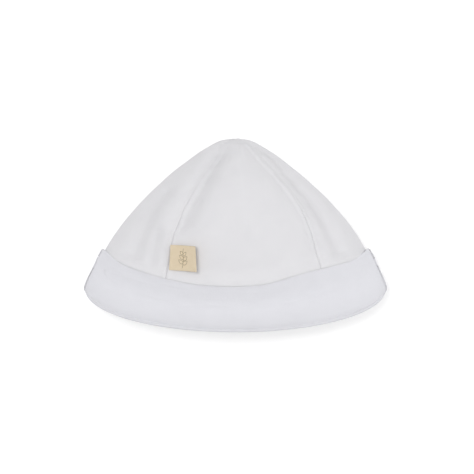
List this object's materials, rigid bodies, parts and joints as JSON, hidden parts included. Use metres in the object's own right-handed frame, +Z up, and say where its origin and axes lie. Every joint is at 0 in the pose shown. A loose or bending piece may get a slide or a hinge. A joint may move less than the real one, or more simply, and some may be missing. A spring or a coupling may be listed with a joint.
{
  "type": "baby nightcap",
  "caption": "Soft white jersey cap for a baby's head, lying on its back, with gored crown, turned-up cuff and a small woven tape label in a front seam.",
  "frame": {"origin": "middle of the cap's footprint, on the surface that it lies on", "axes": "+X across the cap to its right side fold, +Y towards the tip, +Z up, with the mouth opening along -Y"},
  "size_m": [0.1994, 0.127, 0.0511],
  "materials": {
    "jersey": "matte white cotton knit, slightly cool",
    "cuff_jersey": "matte white cotton knit in two layers",
    "woven_tape": "light tan woven ribbon with fine ribs"
  },
  "bodies": {
    "root": {"front_gore": "jersey", "left_gore": "jersey", "right_gore": "jersey", "back_gore": "jersey", "cuff": "cuff_jersey", "label": "woven_tape"}
  },
  "joints": []
}
